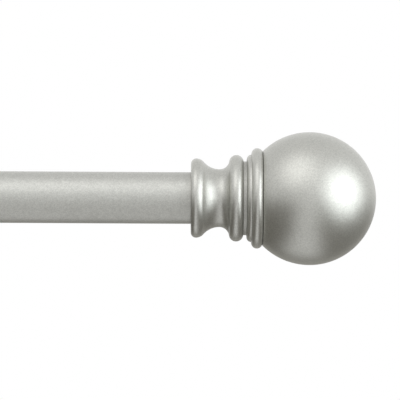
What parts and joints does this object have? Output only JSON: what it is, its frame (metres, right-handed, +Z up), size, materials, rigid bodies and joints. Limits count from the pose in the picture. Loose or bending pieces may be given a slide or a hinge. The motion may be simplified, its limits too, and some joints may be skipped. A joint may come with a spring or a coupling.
{
  "type": "curtain rod with brackets",
  "caption": "Telescoping round curtain rod with turned ball finials, carried in clamped cradles on extending wall brackets with round rosettes.",
  "frame": {"origin": "on the wall plane, midway between the brackets, at the height of the bracket arms: the centre of the wall screw pattern", "axes": "+X along the rod towards the larger tube's finial, +Y into the wall, +Z up"},
  "size_m": [0.8738, 0.1462, 0.0712],
  "materials": {
    "finial_paint": "satin metallic nickel paint with fine flake",
    "tube_paint": "satin metallic nickel paint",
    "bracket_paint": "satin metallic nickel paint",
    "plated_steel": "zinc-plated steel",
    "brass": "plain turned brass",
    "white_nylon": "natural nylon",
    "pad_vinyl": "soft grey vinyl"
  },
  "bodies": {
    "wall_brackets": {"wall_plate_left": "plated_steel", "wall_plate_right": "plated_steel", "arm_tube_left": "bracket_paint", "arm_tube_right": "bracket_paint", "wall_screws": "plated_steel"},
    "rosette_left": {"rosette_left": "bracket_paint"},
    "lock_screw_left": {"arm_lock_screw_left": "plated_steel"},
    "arm_left": {"sliding_arm_left": "bracket_paint", "arm_end_cap_left": "bracket_paint", "cradle_left": "bracket_paint", "cradle_pad_left": "pad_vinyl", "cradle_screw_left": "plated_steel"},
    "clamp_shank_left": {"clamp_screw_left": "plated_steel"},
    "clamp_knob_left": {"clamp_knob_left": "bracket_paint"},
    "rosette_right": {"rosette_right": "bracket_paint"},
    "lock_screw_right": {"arm_lock_screw_right": "plated_steel"},
    "arm_right": {"sliding_arm_right": "bracket_paint", "arm_end_cap_right": "bracket_paint", "cradle_right": "bracket_paint", "cradle_pad_right": "pad_vinyl", "cradle_screw_right": "plated_steel"},
    "clamp_shank_right": {"clamp_screw_right": "plated_steel"},
    "clamp_knob_right": {"clamp_knob_right": "bracket_paint"},
    "outer_rod": {"outer_tube": "tube_paint", "tube_mouth_collar": "white_nylon", "end_plug_right": "white_nylon", "thread_insert_right": "brass"},
    "inner_rod": {"inner_tube": "tube_paint", "inner_tube_glide": "white_nylon", "tube_adapter_sleeve": "finial_paint", "end_plug_left": "white_nylon", "thread_insert_left": "brass"},
    "stud_left": {"finial_stud_left": "plated_steel"},
    "finial_left": {"finial_neck_left": "finial_paint", "finial_ball_left": "finial_paint"},
    "stud_right": {"finial_stud_right": "plated_steel"},
    "finial_right": {"finial_neck_right": "finial_paint", "finial_ball_right": "finial_paint"}
  },
  "joints": [
    {"name": "rosette_left_slide", "type": "slide", "parent": "wall_brackets", "child": "rosette_left", "axis": [0, -1, 0], "range_m": [0, 0.025]},
    {"name": "lock_screw_left_travel", "type": "slide", "parent": "wall_brackets", "child": "lock_screw_left", "axis": [0, 0, -1], "range_m": [0, 0.0025]},
    {"name": "rosette_right_slide", "type": "slide", "parent": "wall_brackets", "child": "rosette_right", "axis": [0, -1, 0], "range_m": [0, 0.025]},
    {"name": "lock_screw_right_travel", "type": "slide", "parent": "wall_brackets", "child": "lock_screw_right", "axis": [0, 0, -1], "range_m": [0, 0.0025]},
    {"name": "arm_right_slide", "type": "slide", "parent": "wall_brackets", "child": "arm_right", "axis": [0, -1, 0], "range_m": [0, 0.036]},
    {"name": "arm_left_slide", "type": "slide", "parent": "wall_brackets", "child": "arm_left", "axis": [0, -1, 0], "range_m": [0, 0.036]},
    {"name": "clamp_left_travel", "type": "slide", "parent": "arm_left", "child": "clamp_shank_left", "axis": [0, -1, 0], "range_m": [0, 0.00561]},
    {"name": "clamp_left_turn", "type": "hinge", "parent": "clamp_shank_left", "child": "clamp_knob_left", "pos_m": [-0.2925, -0.11, 0.01975], "axis": [0, -1, 0], "range_deg": [0, 2880]},
    {"name": "clamp_right_travel", "type": "slide", "parent": "arm_right", "child": "clamp_shank_right", "axis": [0, -1, 0], "range_m": [0, 0.00561]},
    {"name": "clamp_right_turn", "type": "hinge", "parent": "clamp_shank_right", "child": "clamp_knob_right", "pos_m": [0.2925, -0.11, 0.01975], "axis": [0, -1, 0], "range_deg": [0, 2880]},
    {"name": "rod_lift", "type": "slide", "parent": "arm_right", "child": "outer_rod", "axis": [0, 0, 1], "range_m": [0, 0.03]},
    {"name": "telescope", "type": "slide", "parent": "outer_rod", "child": "inner_rod", "axis": [-1, 0, 0], "range_m": [-0.049, 0.459]},
    {"name": "finial_left_travel", "type": "slide", "parent": "inner_rod", "child": "stud_left", "axis": [-1, 0, 0], "range_m": [0, 0.00901]},
    {"name": "finial_left_turn", "type": "hinge", "parent": "stud_left", "child": "finial_left", "pos_m": [-0.3675, -0.09, 0.01975], "axis": [-1, 0, 0], "range_deg": [0, 3240]},
    {"name": "finial_right_travel", "type": "slide", "parent": "outer_rod", "child": "stud_right", "axis": [1, 0, 0], "range_m": [0, 0.00901]},
    {"name": "finial_right_turn", "type": "hinge", "parent": "stud_right", "child": "finial_right", "pos_m": [0.3925, -0.09, 0.01975], "axis": [1, 0, 0], "range_deg": [0, 3240]}
  ],
  "couplings": [
    {"joint": "arm_left_slide", "follows": "arm_right_slide", "ratio": 1},
    {"joint": "clamp_left_travel", "follows": "clamp_left_turn", "m_per_rad": 0.00011141},
    {"joint": "clamp_right_travel", "follows": "clamp_right_turn", "m_per_rad": 0.00011141},
    {"joint": "finial_left_travel", "follows": "finial_left_turn", "m_per_rad": 0.00015915},
    {"joint": "finial_right_travel", "follows": "finial_right_turn", "m_per_rad": 0.00015915}
  ]
}
